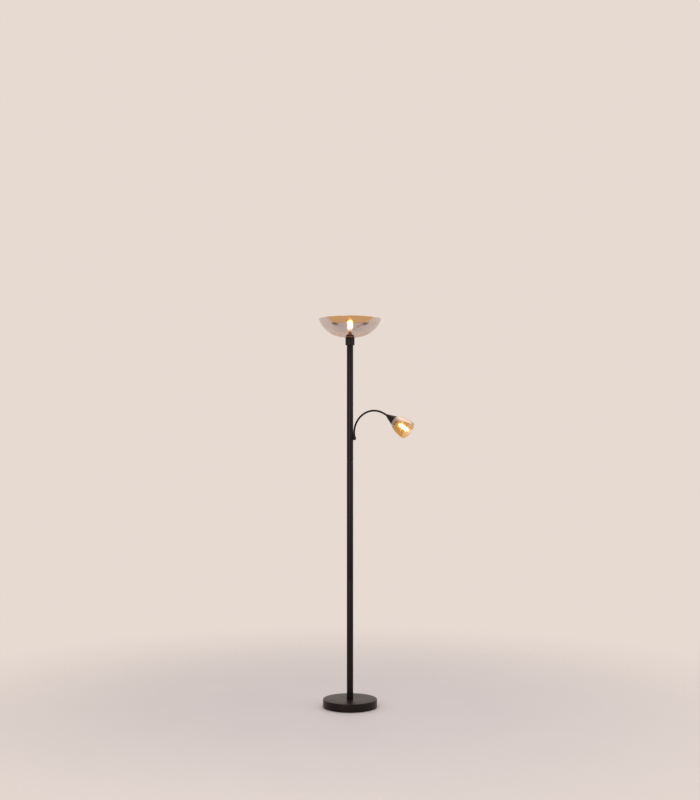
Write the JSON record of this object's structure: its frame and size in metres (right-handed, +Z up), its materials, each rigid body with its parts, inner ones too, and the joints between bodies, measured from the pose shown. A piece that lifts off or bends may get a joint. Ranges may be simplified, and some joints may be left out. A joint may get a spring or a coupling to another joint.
{
  "type": "torchiere floor lamp with reading light",
  "caption": "Floor lamp: round foot, slim black pole, smoked glass uplighter bowl and a glass reading light on a flexible arm.",
  "frame": {"origin": "on the floor under the pole's axis, at the centre of the foot's underside", "axes": "+Z up along the pole, +X the way the reading arm reaches at rest, +Y the side of the foot with the lead's inlet"},
  "size_m": [0.4673, 0.293, 1.8144],
  "materials": {
    "black_coat": "satin black powder coat",
    "cast_weight": "raw casting",
    "foot_pad": "matt foam rubber",
    "zinc_steel": "zinc plated",
    "holder_plastic": "moulded, matt black",
    "lead_sheath": "soft sheath",
    "contact_brass": "plain",
    "cap_metal": "bright",
    "smoked_glass": "half-mirrored smoked glass",
    "amber_glass": "half-mirrored smoked glass, amber when lit",
    "bulb_glass": "clear",
    "filament": "glowing"
  },
  "bodies": {
    "stand": {"base_cover": "black_coat", "pole_lower": "black_coat", "pole_middle": "black_coat", "pole_upper": "black_coat", "holder_cup": "black_coat", "shade_carrier": "black_coat", "arm_saddle": "black_coat", "arm_cap_nut": "black_coat", "base_weight": "cast_weight", "base_pad": "foot_pad", "base_washer": "zinc_steel", "base_nut": "zinc_steel", "base_nipple": "zinc_steel", "top_nipple": "zinc_steel", "top_locknut": "zinc_steel", "pole_foot_insert": "zinc_steel", "lower_joint_stub": "zinc_steel", "lower_joint_bush": "zinc_steel", "upper_joint_stub": "zinc_steel", "upper_joint_bush": "zinc_steel", "pole_top_insert": "zinc_steel", "arm_stud": "zinc_steel", "arm_stud_nut": "zinc_steel", "top_holder_body": "holder_plastic", "top_shade_ring": "holder_plastic", "terminal_block": "holder_plastic", "cable_gland": "holder_plastic", "inner_lead": "lead_sheath", "top_holder_shell": "contact_brass", "top_holder_contact": "contact_brass", "top_bulb_contact": "contact_brass", "top_bulb_cap": "cap_metal", "bowl_glass": "smoked_glass", "top_bulb_glass": "bulb_glass", "top_bulb_filaments": "filament"},
    "arm_foot": {"pivot_body": "black_coat", "arm_ferrule": "black_coat", "neck_piece_0": "black_coat"},
    "neck_1": {"neck_piece_1": "black_coat"},
    "neck_2": {"neck_piece_2": "black_coat"},
    "neck_3": {"neck_piece_3": "black_coat"},
    "neck_4": {"neck_piece_4": "black_coat"},
    "neck_5": {"neck_piece_5": "black_coat"},
    "head": {"head_cone": "black_coat", "head_carrier": "black_coat", "head_nipple": "zinc_steel", "head_spacer": "zinc_steel", "head_holder_body": "holder_plastic", "head_shade_ring": "holder_plastic", "head_holder_shell": "contact_brass", "head_holder_contact": "contact_brass", "head_bulb_contact": "contact_brass", "head_bulb_cap": "cap_metal", "head_glass": "amber_glass", "head_bulb_glass": "bulb_glass", "head_bulb_filaments": "filament", "neck_piece_6": "black_coat"}
  },
  "joints": [
    {"name": "arm_swivel", "type": "hinge", "parent": "stand", "child": "arm_foot", "pos_m": [0.0218, 0, 1.241], "axis": [1, 0, 0], "range_deg": [-90, 90]},
    {"name": "neck_bend_1", "type": "hinge", "parent": "arm_foot", "child": "neck_1", "pos_m": [0.0218, 0, 1.2658], "axis": [0, 1, 0], "range_deg": [0, 25]},
    {"name": "neck_bend_2", "type": "hinge", "parent": "neck_1", "child": "neck_2", "pos_m": [0.02988, 0, 1.30554], "axis": [0, 1, 0], "range_deg": [-20, 12]},
    {"name": "neck_bend_3", "type": "hinge", "parent": "neck_2", "child": "neck_3", "pos_m": [0.05285, 0, 1.33896], "axis": [0, 1, 0], "range_deg": [-20, 12]},
    {"name": "neck_bend_4", "type": "hinge", "parent": "neck_3", "child": "neck_4", "pos_m": [0.08705, 0, 1.36075], "axis": [0, 1, 0], "range_deg": [-20, 12]},
    {"name": "neck_bend_5", "type": "hinge", "parent": "neck_4", "child": "neck_5", "pos_m": [0.12705, 0, 1.36744], "axis": [0, 1, 0], "range_deg": [-20, 12]},
    {"name": "neck_bend_6", "type": "hinge", "parent": "neck_5", "child": "head", "pos_m": [0.16648, 0, 1.35797], "axis": [0, 1, 0], "range_deg": [-20, 12]}
  ]
}
